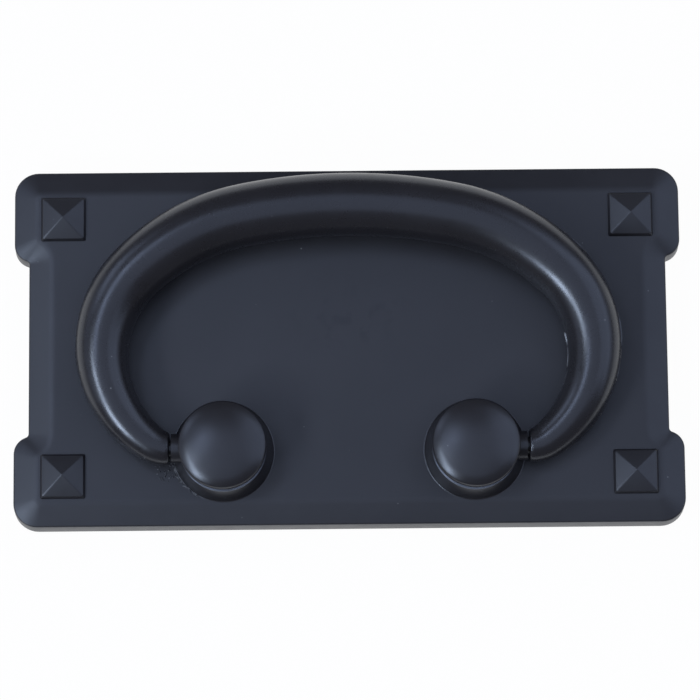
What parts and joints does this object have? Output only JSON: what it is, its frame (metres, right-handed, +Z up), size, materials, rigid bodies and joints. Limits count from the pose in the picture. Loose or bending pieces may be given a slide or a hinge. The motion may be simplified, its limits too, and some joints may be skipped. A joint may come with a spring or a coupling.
{
  "type": "bail drawer pull",
  "caption": "Drawer pull with a notched, bevelled backplate, pyramid corner studs, domed posts and a tapered bail that hangs against the plate and swings up to be pulled.",
  "frame": {"origin": "centre of the plate's back, midway between the two tapped screw holes, in the plane that meets the drawer front", "axes": "+X along the plate's length to the right as seen from the front, +Z up as mounted, +Y into the drawer front; the bail hangs down in front, towards -Y"},
  "size_m": [0.1016, 0.0153, 0.055],
  "materials": {
    "plate_coat": "satin black coat",
    "post_coat": "satin black coat",
    "bail_coat": "satin black coat",
    "screw_steel": "bright zinc plating"
  },
  "bodies": {
    "base": {"backplate": "plate_coat", "left_post": "post_coat", "right_post": "post_coat", "left_post_screw": "screw_steel", "right_post_screw": "screw_steel"},
    "bail": {"bail": "bail_coat"}
  },
  "joints": [
    {"name": "bail_swing", "type": "hinge", "parent": "base", "child": "bail", "pos_m": [0, -0.0086, 0.01627], "axis": [-1, 0, 0], "range_deg": [0, 174]}
  ]
}
